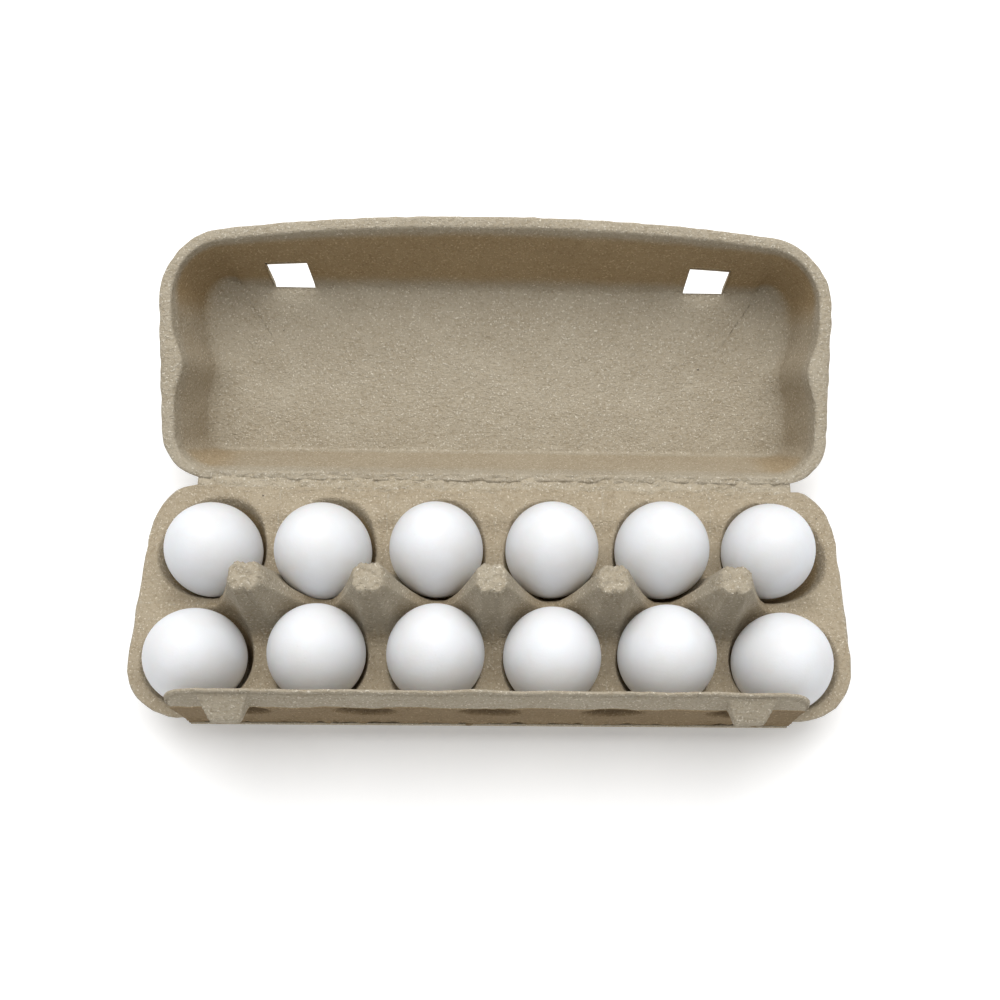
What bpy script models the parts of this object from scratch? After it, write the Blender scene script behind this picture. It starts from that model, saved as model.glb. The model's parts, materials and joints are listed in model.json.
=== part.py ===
"""Egg carton for one dozen eggs: a moulded-pulp tray, its lid, its lock flap and twelve eggs.

The carton stands on z = 0 with its lid laid open behind it, +Y to the back and +X to the right.
The origin is the middle of the footprint. Every sheet of pulp is one function of two parameters
for its inner face, and its other face lies one wall thickness away, measured along the normal.
"""
import math

import bmesh
import bpy
import numpy as np
from mathutils import Vector
from mathutils.geometry import delaunay_2d_cdt

MM = 0.001

# Driving dimensions, in millimetres.
WALL = 1.8              # thickness of the pulp
GAP = 0.3               # running gap between neighbouring pieces
RIM_Z = 31.0            # the tray's rim plane, where both hinges lie, above the table
HINGE_Y = 3.43          # the lid's hinge line, so that the footprint is centred on the origin
PITCH = 48.3            # from one column of cups to the next
COLUMNS = 6
ROW_Y = HINGE_Y - 56.6  # the line between the two rows
ROW_HALF = 23.3         # from that line to the middle of a row

CUP_MOUTH_R = 21.4      # radius of a cup at the rim
CUP_SLOPE = 3.1         # rise over run of a cup's wall
POST_SLOPE = 7.0        # rise over run of the wall above the rim, on the posts
CUP_SEGMENTS = 20

POST_TOP = 39.0         # above the rim
POST_KNOB = 6.0         # half width of a post's flat knob
POST_REACH_X = 22.0     # where a post's side ridge has run out
POST_REACH_Y = 13.0     # where its front and back faces have run out

TRAY_HALF_X = 151.6
TRAY_BACK = 54.9        # from the row line to the back edge of the flange
TRAY_FRONT = 47.9       # from the row line to the front edge of the flange

LID_OPEN_DEG = 151.5    # how far the lid stands open at rest
LID_HALF_X = 149.4
LID_FRONT = 118.5       # from the hinge to the middle of the lid's front edge
LID_BOW = 8.0           # how far that edge falls back at the corners
LID_BOW_X = 128.0
LID_FLANGE_SIDE = 5.0
LID_FLANGE_FRONT = 4.2
LID_DEPTH = 40.6        # from the rim to the inside of the panel
LID_BACK_EDGE = 1.7
LID_BACK_IN = 5.0
LID_FOOT_FRONT = 92.0   # where the front wall meets the panel
LID_FOOT_BACK = 13.0    # where the back wall meets the panel
LID_SIDE_RUN = 5.0      # how far an end wall leans in over its depth
LID_CORNER_FRONT = 22.0
LID_CORNER_BACK = 16.0
LID_WAIST = 4.3         # how far the end walls are pressed in at the middle
LID_WAIST_U = 52.5
LID_WAIST_WIDTH = 10.0

SLOT_X = 99.0           # middle of each lock slot and each lock boss
SLOT_HALF = 10.2
SLOT_FROM = 93.2        # distances from the lid's hinge
SLOT_TO = 100.6

BAND_PIVOT = 48.05      # from the row line to the band's own bend
FLAP_PIVOT = 50.0       # from the row line to the flap's bend
FLAP_HALF_X = 122.0
FLAP_CREASE_Z = 26.5
FLAP_TOP_Z = 42.0
FLAP_LEAN_LOW = 2.5     # degrees from upright, below the crease
FLAP_LEAN_HIGH = 12.0   # and above it
FLAP_CORNER = 14.0
BOSS_BOTTOM_Z = 26.5
BOSS_TOP_Z = 39.5
BOSS_OUT = 6.5          # how far the boss's ledge stands proud
BOSS_HALF_TOP = 8.4
BOSS_HALF_BOTTOM = 6.0
DIMPLE_Z = 20.0
DIMPLE_HALF_X = 12.0
DIMPLE_HALF_Z = 6.0
DIMPLE_DEEP = 1.6

EGG_R = 20.1
EGG_HALF_HEIGHT = 26.8
EGG_MIDDLE = 3.9        # the egg's middle above the rim
EGG_BLUNT = 0.04        # how much fuller the upper end is
EGG_SEGMENTS = 16
EGG_RINGS = 9

PULP = (0.45, 0.38, 0.28, 1.0)
PULP_SHADE = (0.40, 0.33, 0.24, 1.0)
SHELL_WHITE = (0.86, 0.86, 0.84, 1.0)


def clear_scene():
    for item in list(bpy.data.objects):
        bpy.data.objects.remove(item, do_unlink=True)


def material(name, colour, roughness):
    finish = bpy.data.materials.new(name)
    finish.use_nodes = True
    shader = finish.node_tree.nodes["Principled BSDF"]
    shader.inputs["Base Color"].default_value = colour
    shader.inputs["Roughness"].default_value = roughness
    shader.inputs["Metallic"].default_value = 0.0
    return finish


def smooth_min(a, b, width):
    """The lower of two heights, rounded where they cross over the given width."""
    mix = np.clip(0.5 + 0.5 * (b - a) / width, 0.0, 1.0)
    return b * (1.0 - mix) + a * mix - width * mix * (1.0 - mix)


def offset_face(height, a, b, thickness):
    """The face one thickness below a height field, as the lowest ball rolled under it."""
    lowest = height(a, b) - thickness
    for polar in np.radians((20.0, 40.0, 60.0, 76.0)):
        reach, drop = thickness * math.sin(polar), thickness * math.cos(polar)
        for turn in np.radians(np.arange(0.0, 360.0, 30.0)):
            shifted = height(a + reach * math.cos(turn), b + reach * math.sin(turn))
            lowest = np.minimum(lowest, shifted - drop)
    return lowest


def sheet(name, loops, extra, height, to_world, finish, origin=(0.0, 0.0, 0.0), holes=()):
    """A closed sheet: a plan triangulated from loops and points, with a face above and below.

    The first loop is the outline; the other loops only guide the triangles. Each hole is the
    number of a loop whose inside is left open.
    """
    points, edges = [], []
    for loop in loops:
        first = len(points)
        points += [Vector(p) for p in loop]
        edges += [(first + i, first + (i + 1) % len(loop)) for i in range(len(loop))]
    points += [Vector(p) for p in extra]
    plan, _, faces, _, _, _ = delaunay_2d_cdt(points, edges, [], 1, 1e-4)
    flat = np.array([(p.x, p.y) for p in plan])
    faces = [f for f in faces if not any(inside(flat[list(f)].mean(0), loops[h]) for h in holes)]
    used = sorted({i for f in faces for i in f})
    place = {old: new for new, old in enumerate(used)}
    flat = flat[used]
    faces = [tuple(place[i] for i in f) for f in faces]
    upper = height(flat[:, 0], flat[:, 1])
    lower = offset_face(height, flat[:, 0], flat[:, 1], WALL)
    count = len(flat)
    verts = np.vstack([to_world(flat[:, 0], flat[:, 1], upper), to_world(flat[:, 0], flat[:, 1], lower)])
    sides = {(f[i], f[(i + 1) % 3]) for f in faces for i in range(3)}
    rims = [(a, b) for a, b in sides if (b, a) not in sides]
    solid = faces + [tuple(i + count for i in reversed(f)) for f in faces]
    solid += [(b, a, a + count) for a, b in rims] + [(b, a + count, b + count) for a, b in rims]
    return mesh_object(name, verts, solid, finish, origin)


def inside(point, loop):
    """Whether a point lies inside a closed loop, by counting crossings."""
    x, y = point
    hit = False
    for (x1, y1), (x2, y2) in zip(loop, loop[1:] + loop[:1]):
        if (y1 > y) != (y2 > y) and x < (x2 - x1) * (y - y1) / (y2 - y1) + x1:
            hit = not hit
    return hit


def mesh_object(name, verts, faces, finish, origin=(0.0, 0.0, 0.0)):
    """An object whose origin is on its joint, from world points in millimetres."""
    home = np.array(origin)
    mesh = bpy.data.meshes.new(name)
    mesh.from_pydata(((np.asarray(verts) - home) * MM).tolist(), [], faces)
    work = bmesh.new()
    work.from_mesh(mesh)
    bmesh.ops.recalc_face_normals(work, faces=work.faces)
    work.to_mesh(mesh)
    work.free()
    mesh.shade_smooth()
    mesh.set_sharp_from_angle(angle=math.radians(50.0))
    mesh.materials.append(finish)
    piece = bpy.data.objects.new(name, mesh)
    piece.location = home * MM
    bpy.context.scene.collection.objects.link(piece)
    return piece


def circle(cx, cy, radius, segments):
    turns = [2.0 * math.pi * i / segments for i in range(segments)]
    return [(cx + radius * math.cos(t), cy + radius * math.sin(t)) for t in turns]


def arc(cx, cy, rx, ry, start, end, steps):
    turns = np.radians(np.linspace(start, end, steps))
    return [(cx + rx * math.cos(t), cy + ry * math.sin(t)) for t in turns]


# The tray. Its plan is x and y from the line between the rows, its height is above the rim.

def cup_centres():
    first = -PITCH * (COLUMNS - 1) / 2.0
    return [(first + PITCH * i, side * ROW_HALF) for side in (-1, 1) for i in range(COLUMNS)]


def post_centres():
    return [PITCH * (i - (COLUMNS - 2) / 2.0) for i in range(COLUMNS - 1)]


def tray_height(x, y):
    """The tray's inner face: the land between the cups, the posts on it, the cups cut into it."""
    floor = WALL - RIM_Z
    land = -GAP / 2.0 - 4.0 * np.exp(-((np.abs(x) - 134.0) / 7.0) ** 2 - (y / 5.0) ** 2)
    for middle in post_centres():
        along = np.clip((POST_REACH_X - np.abs(x - middle)) / (POST_REACH_X - POST_KNOB), 0.0, 1.0)
        across = np.clip((POST_REACH_Y - np.abs(y)) / (POST_REACH_Y - POST_KNOB), 0.0, 1.0)
        land = land + POST_TOP * along ** 1.4 * across ** 1.2
    result = land
    for cx, cy in cup_centres():
        past = np.hypot(x - cx, y - cy) - CUP_MOUTH_R
        wall = np.where(past < 0.0, CUP_SLOPE, POST_SLOPE) * past
        bowl = -smooth_min(-wall, np.full_like(wall, -floor), 3.0)
        result = smooth_min(bowl, result, 1.2)
    return np.maximum(result, floor)


def tray_outline():
    x, back, front = TRAY_HALF_X, TRAY_BACK, -TRAY_FRONT
    loop = arc(x - 16.1, back - 25.0, 16.1, 25.0, 0, 90, 8)
    loop += [(px, back) for px in np.linspace(112.0, -112.0, 11)]
    loop += arc(16.1 - x, back - 25.0, 16.1, 25.0, 90, 180, 8)
    loop += [(-x, 10.0), (-x, -8.0)]
    loop += arc(25.0 - x, front + 24.0, 25.0, 24.0, 180, 270, 9)
    loop += [(px, front) for px in np.linspace(-112.0, 112.0, 11)]
    loop += arc(x - 25.0, front + 24.0, 25.0, 24.0, 270, 360, 9)
    return loop + [(x, -8.0), (x, 10.0)]


def tray_to_world(x, y, z):
    return np.column_stack([x, y + ROW_Y, z + RIM_Z])


def make_tray(finish):
    floor_r = CUP_MOUTH_R - (RIM_Z - WALL) / CUP_SLOPE
    loops = [tray_outline()]
    extra = []
    for cx, cy in cup_centres():
        for radius in (floor_r - 0.8, floor_r + 1.6, 17.4, CUP_MOUTH_R):
            loops.append(circle(cx, cy, radius, CUP_SEGMENTS))
        extra.append((cx, cy))
    spread_x = (0.0, 3.0, 5.5, 8.0, 11.0, 15.0, 20.0)
    spread_y = (0.0, 3.0, 5.5, 8.5, 12.5)
    marks = [(mx + sx * dx, sy * dy) for mx in post_centres() for dx in spread_x for dy in spread_y
             for sx in (-1, 1) for sy in (-1, 1)]
    marks += [(sx * dx, sy * dy) for dx in (113.0, 120.0, 127.0, 134.0, 141.0, 146.0) for dy in (0.0, 4.0)
              for sx in (-1, 1) for sy in (-1, 1)]
    for x, y in sorted(set(marks)):
        if min(math.hypot(x - cx, y - cy) for cx, cy in cup_centres()) > CUP_MOUTH_R + 0.7:
            extra.append((x, y))
    return sheet("base_tray", loops, extra, tray_height, tray_to_world, finish)


# The lid. Its plan is x and u, the distance from the hinge; its depth runs from rim to panel.

def lid_edge(x):
    """How far the lid's front edge is from the hinge, bowed out in the middle."""
    return LID_FRONT - LID_BOW * (np.abs(x) / LID_BOW_X) ** 2.2


def lid_side(u):
    """Half length inside the rim, pressed in at the waist."""
    waist = LID_WAIST * np.exp(-((u - LID_WAIST_U) / LID_WAIST_WIDTH) ** 2)
    return LID_HALF_X - LID_FLANGE_SIDE - waist


def lid_depth(x, u):
    """The inside of the lid: walls that lean in to the panel, with rounded corners in plan."""
    side = lid_side(u)
    front = lid_edge(x) - LID_FLANGE_FRONT
    front_run = front - LID_FOOT_FRONT
    back_run = LID_FOOT_BACK - LID_BACK_IN
    share = np.minimum.reduce([(side - np.abs(x)) / LID_SIDE_RUN, (front - u) / front_run,
                               (u - LID_BACK_IN) / back_run])
    for radius, past, run in ((LID_CORNER_FRONT, u - front, front_run), (LID_CORNER_BACK, LID_BACK_IN - u, back_run)):
        vx = np.abs(x) - side + radius
        vu = past + radius
        reach = np.maximum(np.hypot(vx, vu), 1e-6)
        slope = ((vx / reach) ** 2 / LID_SIDE_RUN + (vu / reach) ** 2 / run)
        share = np.where((vx > 0.0) & (vu > 0.0), (radius - reach) * slope, share)
    inner = smooth_min(share * LID_DEPTH, np.full_like(share, LID_DEPTH), 7.0)
    return np.maximum(inner, 0.0) + GAP / 2.0


def lid_corner(turn, share, end):
    """A point of the loop in a rounded corner; end is 1 at the front and -1 at the hinge side."""
    across, along = math.cos(turn) ** 2, math.sin(turn) ** 2
    radius = LID_CORNER_FRONT if end > 0 else LID_CORNER_BACK
    if share < 0.0:
        flange = LID_FLANGE_FRONT if end > 0 else LID_BACK_IN - LID_BACK_EDGE
        inset = -(LID_FLANGE_SIDE * across + flange * along)
    else:
        run = lid_edge(110.0) - LID_FLANGE_FRONT - LID_FOOT_FRONT if end > 0 else LID_FOOT_BACK - LID_BACK_IN
        inset = share / (across / LID_SIDE_RUN + along / run)
    x = LID_HALF_X - LID_FLANGE_SIDE - radius + (radius - inset) * math.cos(turn)
    edge = lid_edge(x) - LID_FLANGE_FRONT if end > 0 else LID_BACK_IN
    return x, float(edge + end * (-radius + (radius - inset) * math.sin(turn)))


def lid_loop(share):
    """A closed loop round the lid at a share of its depth; a negative share is the rim's edge."""
    rim_edge = share < 0.0
    half = []
    for x in np.linspace(0.0, 118.0, 10):
        inner = lid_edge(x) - LID_FLANGE_FRONT
        half.append((x, lid_edge(x) if rim_edge else inner - share * (inner - LID_FOOT_FRONT)))
    half += [lid_corner(math.radians(turn), share, 1) for turn in (75, 60, 45, 30, 15)]
    for u in (78.0, 69.0, 62.0, 57.0, 52.5, 48.0, 42.0, 34.0, 26.0):
        half.append((LID_HALF_X if rim_edge else lid_side(u) - share * LID_SIDE_RUN, u))
    half += [lid_corner(math.radians(turn), share, -1) for turn in (22, 45, 68)]
    back = LID_BACK_EDGE if rim_edge else LID_BACK_IN + share * (LID_FOOT_BACK - LID_BACK_IN)
    half += [(x, back) for x in np.linspace(120.0, 0.0, 7)]
    return half + [(-x, u) for x, u in reversed(half[1:-1])]


def slot_loop(side):
    """A lock slot, a little narrower towards the panel."""
    wide, narrow = SLOT_HALF, SLOT_HALF - 1.5
    corners = ((wide, SLOT_TO), (-wide, SLOT_TO), (-narrow, SLOT_FROM), (narrow, SLOT_FROM))
    return [(side * SLOT_X + dx, u) for dx, u in corners]


def lid_height(x, u):
    """The lid's inside as a height, so that its outer face is the lower one."""
    return -lid_depth(x, u)


def lid_to_world(x, u, height):
    """The open lid's place: u runs back and up from the hinge, and the depth runs down and back."""
    turn = math.radians(LID_OPEN_DEG)
    y = HINGE_Y - u * math.cos(turn) - height * math.sin(turn)
    z = RIM_Z + u * math.sin(turn) - height * math.cos(turn)
    return np.column_stack([x, y, z])


def make_lid(finish):
    loops = [lid_loop(share) for share in (-1.0, 0.0, 0.5, 0.85, 1.1)]
    loops += [slot_loop(-1), slot_loop(1)]
    return sheet("lid", loops, [], lid_height, lid_to_world, finish, (0.0, HINGE_Y, RIM_Z), holes=(5, 6))


# The flap. Its plan is x and z above the rim, its height is how far it stands out to the front.

def flap_height(x, z):
    """The flap's outer face: two leaning panels, five dimples under the crease, two bosses."""
    low, high = math.tan(math.radians(FLAP_LEAN_LOW)), math.tan(math.radians(FLAP_LEAN_HIGH))
    face = -np.where(z < FLAP_CREASE_Z, z * low, FLAP_CREASE_Z * low + (z - FLAP_CREASE_Z) * high)
    for middle in post_centres():
        spread = ((x - middle) / DIMPLE_HALF_X) ** 2 + ((z - DIMPLE_Z) / DIMPLE_HALF_Z) ** 2
        face = face - DIMPLE_DEEP * np.clip(1.0 - spread, 0.0, 1.0)
    rise = (z - BOSS_BOTTOM_Z) / (BOSS_TOP_Z - BOSS_BOTTOM_Z)
    width = BOSS_HALF_BOTTOM + (BOSS_HALF_TOP - BOSS_HALF_BOTTOM) * np.clip(rise, 0.0, 1.0)
    flank = np.clip((width - np.abs(np.abs(x) - SLOT_X)) / 1.4, 0.0, 1.0)
    ledge = np.clip((z - BOSS_BOTTOM_Z) / 1.2 + 1.0, 0.0, 1.0)
    return face + BOSS_OUT * np.clip(1.0 - rise, 0.0, 1.0) * flank * ledge


def flap_outline():
    x, top = FLAP_HALF_X, FLAP_TOP_Z
    loop = [(px, GAP) for px in np.linspace(-x, x, 9)]
    loop += [(x, 14.0)] + arc(x - FLAP_CORNER, top - FLAP_CORNER, FLAP_CORNER, FLAP_CORNER, 0, 90, 5)
    loop += [(px, top) for px in np.linspace(84.0, -84.0, 7)]
    loop += arc(FLAP_CORNER - x, top - FLAP_CORNER, FLAP_CORNER, FLAP_CORNER, 90, 180, 5)
    return loop + [(-x, 14.0)]


def flap_to_world(x, z, out):
    return np.column_stack([x, ROW_Y - FLAP_PIVOT - out, RIM_Z + z])


def make_flap(finish):
    loops = [flap_outline()]
    for side in (-1, 1):
        for grow in (0.0, -1.4):
            foot, head = BOSS_HALF_BOTTOM + grow, BOSS_HALF_TOP + grow
            low = BOSS_BOTTOM_Z - (1.2 if grow == 0.0 else 0.0)
            corners = ((foot, low), (head, BOSS_TOP_Z), (-head, BOSS_TOP_Z), (-foot, low))
            loops.append([(side * SLOT_X + dx, z) for dx, z in corners])
    extra = [(x, FLAP_CREASE_Z) for x in np.linspace(-121.0, 121.0, 23)]
    for middle in post_centres():
        for dx, dz in ((0, 0), (0, 5), (0, -5), (6, 3), (-6, 3), (6, -3), (-6, -3), (11, 0), (-11, 0)):
            extra.append((middle + dx, DIMPLE_Z + dz))
    home = (0.0, ROW_Y - FLAP_PIVOT, RIM_Z)
    return sheet("lock_flap", loops, extra, flap_height, flap_to_world, finish, home)


# The two hinges: strips of pulp carried along X.

def strip(name, section, half_x, finish, origin=(0.0, 0.0, 0.0)):
    """A bar of one cross-section, given as points of y and z."""
    count = len(section)
    verts = [(side * half_x, y, z) for side in (-1, 1) for y, z in section]
    faces = [tuple(range(count)), tuple(range(2 * count - 1, count - 1, -1))]
    faces += [(i, (i + 1) % count, (i + 1) % count + count, i + count) for i in range(count)]
    return mesh_object(name, verts, faces, finish, origin)


def make_hinge_web(finish):
    """The lid's living hinge: the part of the sheet that rolls round the hinge line."""
    section = [(HINGE_Y, RIM_Z - GAP / 2.0)]
    section += arc(HINGE_Y, RIM_Z, 1.4, 1.4, 187, 360 + 180 - LID_OPEN_DEG - 6, 8)
    return strip("lid_hinge_web", section, 134.0, finish)


def make_hinge_band(finish):
    """The flap's living hinge: it bends at its back edge, and the flap bends at its front edge."""
    back, front = ROW_Y - TRAY_FRONT - GAP, ROW_Y - FLAP_PIVOT
    top = RIM_Z - GAP / 2.0
    section = [(back, top), (front, top), (front, top - WALL), (back, top - WALL)]
    home = (0.0, ROW_Y - BAND_PIVOT, RIM_Z)
    return strip("front_hinge_band", section, FLAP_HALF_X - 0.5, finish, home)


# The eggs.

def make_egg(name, cx, cy, finish):
    """An egg, blunt end up: a circle's section made taller, and fuller above its middle."""
    verts, faces = [(cx, cy, -EGG_HALF_HEIGHT)], []
    for ring in range(1, EGG_RINGS):
        turn = -math.pi / 2.0 + math.pi * ring / EGG_RINGS
        radius = EGG_R * math.cos(turn) * (1.0 + EGG_BLUNT * math.sin(turn))
        verts += [(x, y, EGG_HALF_HEIGHT * math.sin(turn)) for x, y in circle(cx, cy, radius, EGG_SEGMENTS)]
    verts.append((cx, cy, EGG_HALF_HEIGHT))
    last = len(verts) - 1
    for i in range(EGG_SEGMENTS):
        j = (i + 1) % EGG_SEGMENTS
        faces.append((0, 1 + j, 1 + i))
        faces.append((last, last - EGG_SEGMENTS + i, last - EGG_SEGMENTS + j))
        for ring in range(EGG_RINGS - 2):
            start = 1 + ring * EGG_SEGMENTS
            faces.append((start + i, start + j, start + EGG_SEGMENTS + j, start + EGG_SEGMENTS + i))
    lift = np.array((0.0, ROW_Y, RIM_Z + EGG_MIDDLE))
    return mesh_object(name, np.array(verts) + lift, faces, finish, (cx, cy + ROW_Y, RIM_Z + EGG_MIDDLE))


def main():
    clear_scene()
    pulp = material("moulded_pulp", PULP, 0.95)
    bend = material("creased_pulp", PULP_SHADE, 0.95)
    shell = material("egg_shell", SHELL_WHITE, 0.55)
    make_tray(pulp)
    make_hinge_web(bend)
    make_lid(pulp)
    make_hinge_band(bend)
    make_flap(pulp)
    for row, (side, y) in enumerate((("front", -ROW_HALF), ("back", ROW_HALF))):
        for column in range(COLUMNS):
            x = cup_centres()[column][0]
            make_egg(f"egg_{side}_{column + 1}", x, y, shell)


main()
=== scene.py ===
# %% [markdown]
# # An egg carton of moulded pulp, with a dozen eggs
#
# A pulp carton is one sheet. Wet paper fibre is sucked on to a wire mould and dried, so every
# wall has the same thickness, every corner is round, and no wall is quite upright, because the
# sheet has to lift off the mould. This lesson makes that sheet from height functions: one formula
# gives the inner face, and a second face lies one wall thickness behind it.

# %% Load the fixed frame
import json
import math

import bmesh
import bpy
import numpy as np
from mathutils import Matrix, Vector


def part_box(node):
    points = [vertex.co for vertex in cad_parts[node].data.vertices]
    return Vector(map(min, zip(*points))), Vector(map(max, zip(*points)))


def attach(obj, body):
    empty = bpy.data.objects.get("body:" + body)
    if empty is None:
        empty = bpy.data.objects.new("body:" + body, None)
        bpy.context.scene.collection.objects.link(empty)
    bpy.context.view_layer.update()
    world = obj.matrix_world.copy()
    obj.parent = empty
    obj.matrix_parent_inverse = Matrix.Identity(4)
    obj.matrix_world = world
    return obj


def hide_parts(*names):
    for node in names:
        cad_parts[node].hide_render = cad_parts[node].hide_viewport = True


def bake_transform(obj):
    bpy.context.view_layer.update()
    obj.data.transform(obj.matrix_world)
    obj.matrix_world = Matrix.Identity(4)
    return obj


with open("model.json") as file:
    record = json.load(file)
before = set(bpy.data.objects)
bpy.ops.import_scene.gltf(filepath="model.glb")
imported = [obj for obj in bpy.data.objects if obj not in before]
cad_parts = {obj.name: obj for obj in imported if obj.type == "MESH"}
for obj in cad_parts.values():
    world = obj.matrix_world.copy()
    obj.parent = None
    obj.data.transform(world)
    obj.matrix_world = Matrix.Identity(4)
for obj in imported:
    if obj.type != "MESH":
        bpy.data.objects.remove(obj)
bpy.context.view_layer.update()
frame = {"record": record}

MM = 0.001
JOINTS = {joint["name"]: joint for joint in frame["record"]["behaviour"]["joints"]}
EGG_NAMES = [f"egg_{row}_{column}" for row in ("front", "back") for column in range(1, 7)]


def box_mm(node):
    """Lowest and highest corner of a CAD node, in millimetres."""
    low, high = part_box(node)
    return np.array(low) / MM, np.array(high) / MM


TRAY_LOW, TRAY_HIGH = box_mm("base_tray")
LID_HIGH = box_mm("lid")[1]
FLAP_LOW, FLAP_HIGH = box_mm("lock_flap")
HINGE_Y, RIM_Z = (np.array(JOINTS["lid_hinge"]["pos_m"]) / MM)[1:]
BAND_Y = JOINTS["band_bend"]["pos_m"][1] / MM
FLAP_Y = JOINTS["flap_hinge"]["pos_m"][1] / MM
OPEN_DEG = -JOINTS["lid_hinge"]["range_deg"][0]
EGG_MIDDLES = np.array([np.mean(box_mm(name), axis=0) for name in EGG_NAMES])
ROW_Y = float(EGG_MIDDLES[:, 1].mean())
CUP_X = EGG_MIDDLES[:6, 0]
PITCH = float(np.diff(CUP_X).mean())
POST_X = (CUP_X[1:] + CUP_X[:-1]) / 2.0
ROW_HALF = float(EGG_MIDDLES[6:, 1].mean() - ROW_Y)
print("tray", (TRAY_HIGH - TRAY_LOW).round(1), "mm; lid stands open", OPEN_DEG, "degrees")

# %% [markdown]
# ## Making a sheet
#
# A whole grid of points is one numpy array of rows, columns and three coordinates. The faces
# follow from the grid, so no loop over the points is needed. The back of the sheet is found by
# rolling a ball as thick as the wall along the front: at each point the lowest place that the
# ball reaches is the back face. That keeps narrow ridges from folding through themselves, which
# a plain offset along the normals would do.

# %% Helpers for grids and shells
WALL = 1.8
EDGE_BULGE = 0.45


def smooth_min(a, b, width):
    """The lower of two heights: where they differ by less than width, a parabola rounds the corner."""
    mix = np.clip(0.5 + 0.5 * (b - a) / width, 0.0, 1.0)
    return b * (1.0 - mix) + a * mix - width * mix * (1.0 - mix)


def ease(value, low, high):
    """Rises from 0 at low to 1 at high along the curve 3t squared minus 2t cubed."""
    t = np.clip((value - low) / (high - low), 0.0, 1.0)
    return t * t * (3.0 - 2.0 * t)


def lumps(a, b, size, seed):
    """Soft random lumps about size across: a sum of 28 plane waves of random direction and phase."""
    draw = np.random.default_rng(seed)
    total = np.zeros(np.broadcast(a, b).shape)
    for _ in range(28):
        turn, phase = draw.uniform(0.0, 2.0 * math.pi, 2)
        pace = 2.0 * math.pi / (size * draw.uniform(0.8, 2.2))
        total = total + np.sin(pace * (a * math.cos(turn) + b * math.sin(turn)) + phase)
    return total / math.sqrt(14.0)


def fold_lines(past, along, seed):
    """Fine crumpled folds beside a hinge: waves across it that wander and fade out 10 mm away."""
    wander = lumps(along, past * 0.0, 9.0, seed)
    near = np.exp(-(np.clip(past, 0.0, None) / 6.5) ** 2)
    return near * (0.2 * np.sin(past * 2.6 + wander * 1.5) + 0.32 * lumps(along * 0.35, past, 1.9, seed + 1))


def back_face(height, a, b):
    """The lowest point that a ball of the wall's thickness reaches under a height function."""
    lowest = height(a, b) - WALL
    for polar in np.radians((18.0, 36.0, 54.0, 70.0, 82.0)):
        reach, drop = WALL * math.sin(polar), WALL * math.cos(polar)
        for turn in np.radians(np.arange(0.0, 360.0, 30.0)):
            lowest = np.minimum(lowest, height(a + reach * math.cos(turn), b + reach * math.sin(turn)) - drop)
    return lowest


def grid_faces(rows, columns, start=0, around=False):
    """Quads of a grid of points; around joins the last column to the first."""
    i, j = np.meshgrid(np.arange(rows - 1), np.arange(columns if around else columns - 1), indexing="ij")
    k = (j + 1) % columns
    corners = (i * columns + j, i * columns + k, (i + 1) * columns + k, (i + 1) * columns + j)
    return np.stack(corners, -1).reshape(-1, 4) + start


def make_piece(name, points, quads, finish, painted_shade=None, weld=0.002):
    """A mesh object from points in millimetres and quads, with touching points welded.

    Each point may carry a value of painted shade, kept as a mesh attribute: 0 is plain pulp,
    towards 1 a warmer, darker painted shade as in hollows and on walls turned from the light, and
    past 1 a darker grey painted shade as well.
    """
    mesh = bpy.data.meshes.new(name)
    mesh.from_pydata((np.asarray(points) * MM).tolist(), [], quads.tolist())
    # Painted shade, one value per point, which the material uses to darken the colour.
    if painted_shade is not None:
        layer = mesh.attributes.new("painted_shade", "FLOAT", "POINT")
        layer.data.foreach_set("value", np.asarray(painted_shade, dtype=np.float32).ravel())
    work = bmesh.new()
    work.from_mesh(mesh)
    bmesh.ops.remove_doubles(work, verts=work.verts, dist=weld * MM)
    bmesh.ops.dissolve_degenerate(work, edges=work.edges, dist=weld * MM)
    work.to_mesh(mesh)
    open_edges = sum(1 for edge in work.edges if len(edge.link_faces) != 2)
    volume = work.calc_volume(signed=True)
    work.free()
    mesh.shade_smooth()
    mesh.materials.append(finish)
    piece = bpy.data.objects.new(name, mesh)
    bpy.context.scene.collection.objects.link(piece)
    print(f"{name}: {len(mesh.polygons)} faces, {open_edges} open edges, {volume * 1e6:.1f} cm3")
    return piece


def stack_shell(front, back, edge_steps=3):
    """Points that run over the front, round the edge in a half circle and back under the sheet.

    front and back are grids of rings by points, with the sheet's edge as their first ring. The
    edge bulges outwards by the sine of the way round it.
    """
    outward = front[0] - front[1]
    outward = outward / np.maximum(np.linalg.norm(outward, axis=1, keepdims=True), 1e-6)
    rounds = []
    for step in range(1, edge_steps):
        share = step / edge_steps
        bulge = EDGE_BULGE * math.sin(math.pi * share)
        rounds.append(front[0] * (1.0 - share) + back[0] * share + outward * bulge)
    return np.concatenate([front[::-1], np.array(rounds), back])


# %% [markdown]
# ## The tray's inner face
#
# The mould for the tray is a flat rim plane with twelve tapered cups sunk into it and five posts
# standing on it. As a formula that is a land height, with the posts added, and then the lower of
# that and each cup's wall. Taking the lower one with a rounded corner gives the soft edges that
# wet fibre takes. A post is the product of two fall-off curves: it runs out slowly along the
# carton, as a ridge down to the saddle, and steeply to the front and back, where a shallow
# groove runs down from its knob.

# %% The tray as a height above the rim plane
FLOOR = WALL - RIM_Z
CUP_MOUTH_R = 21.4
CUP_FLARE = 4.4
CUP_SLOPE = 3.1
POST_SLOPE = 7.0
POST_TOP = 39.0
POST_KNOB = 6.0
POST_REACH_X = 22.0
POST_REACH_Y = 13.0
HALF_GAP = 0.15
DIVIDER_DIP = 4.5


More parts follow.
